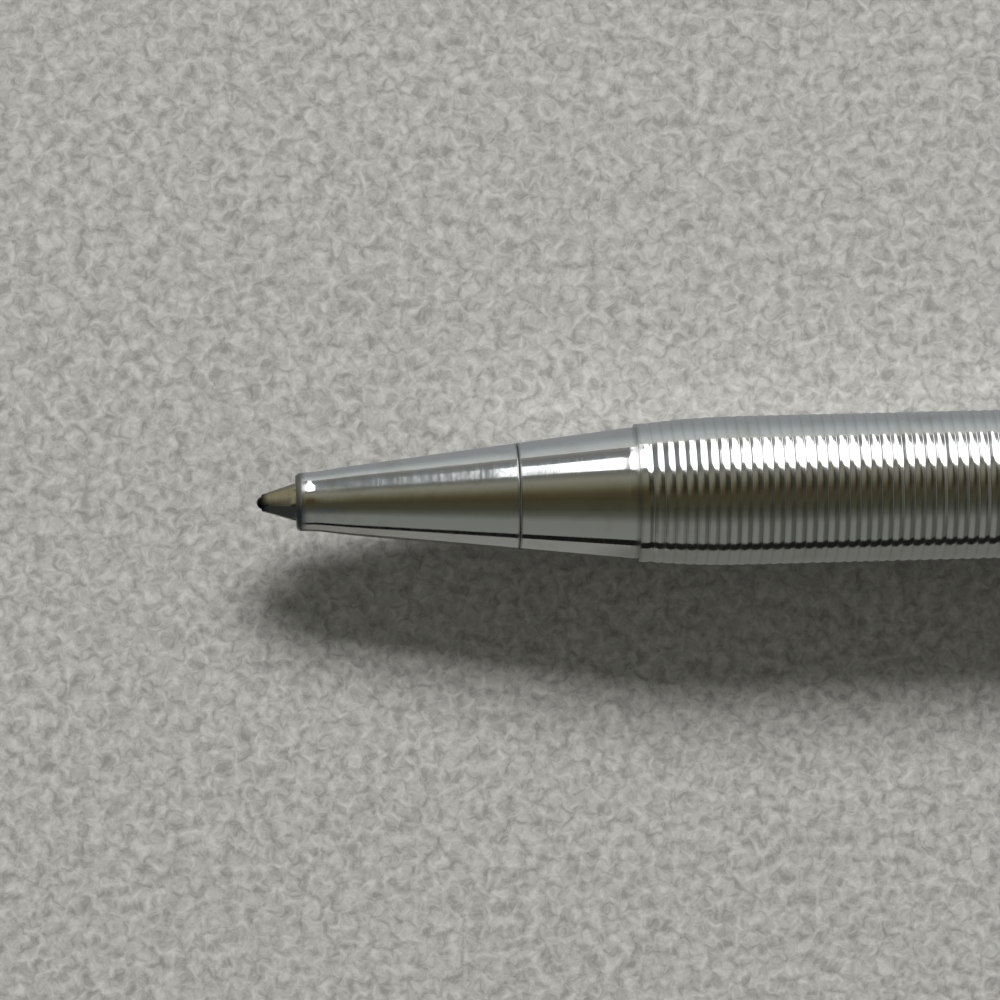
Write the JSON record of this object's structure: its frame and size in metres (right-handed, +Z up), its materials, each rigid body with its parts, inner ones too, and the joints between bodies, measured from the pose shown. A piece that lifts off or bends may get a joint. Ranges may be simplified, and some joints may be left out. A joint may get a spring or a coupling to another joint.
{
  "type": "twist ballpoint pen",
  "caption": "Slim all-metal twist-action ballpoint pen with a tapered screw-off nose, ring-turned barrel and cap, sprung pocket clip and a cam mechanism that draws in the refill.",
  "frame": {"origin": "on the table, under the middle of the pen's box as it lies on its barrel and clip", "axes": "+X along the pen from the writing point to the finial, +Z up from the table, clip towards -Y and down"},
  "size_m": [0.137, 0.0114, 0.0096],
  "materials": {
    "polished_silver": "silver plate on brass, turned and polished",
    "turned_brass": "turned",
    "nickel_silver": "turned",
    "carbide": "ground, inked",
    "drawn_steel": "drawn",
    "acetal": "moulded",
    "nylon": "punched"
  },
  "bodies": {
    "barrel": {"barrel_sleeve": "polished_silver", "barrel_bush": "turned_brass", "centre_ring": "polished_silver", "guide_tube": "turned_brass", "retaining_ring": "drawn_steel", "thrust_washer": "nylon", "return_spring": "drawn_steel"},
    "nose": {"nose_cone": "polished_silver"},
    "refill": {"refill_tube": "drawn_steel", "refill_point": "nickel_silver", "writing_ball": "carbide", "plunger": "acetal", "push_pin": "drawn_steel"},
    "cap": {"cap_sleeve": "polished_silver", "cap_bush": "turned_brass", "cam_sleeve": "turned_brass", "clip_housing": "turned_brass", "clip_pin": "drawn_steel", "clip_spring": "drawn_steel", "finial": "polished_silver"},
    "clip": {"clip": "polished_silver"}
  },
  "joints": [
    {"name": "nose_unscrew", "type": "slide", "parent": "barrel", "child": "nose", "axis": [-1, 0, 0], "range_m": [0, 0.0055]},
    {"name": "cap_twist", "type": "hinge", "parent": "barrel", "child": "cap", "pos_m": [0, 0.0009, 0.0048], "axis": [1, 0, 0], "range_deg": [0, 180]},
    {"name": "refill_slide", "type": "slide", "parent": "barrel", "child": "refill", "axis": [1, 0, 0], "range_m": [0, 0.005], "deforming": ["return_spring"]},
    {"name": "clip_flex", "type": "hinge", "parent": "cap", "child": "clip", "pos_m": [0.058, -0.00106, 0.00359], "axis": [0, -0.527, 0.8499], "range_deg": [0, 5], "stiffness_Nm_per_rad": 0.6, "springref_deg": -2.86, "deforming": ["clip_spring"]}
  ],
  "couplings": [
    {"joint": "refill_slide", "follows": "cap_twist", "m_per_rad": 0.0015915}
  ]
}
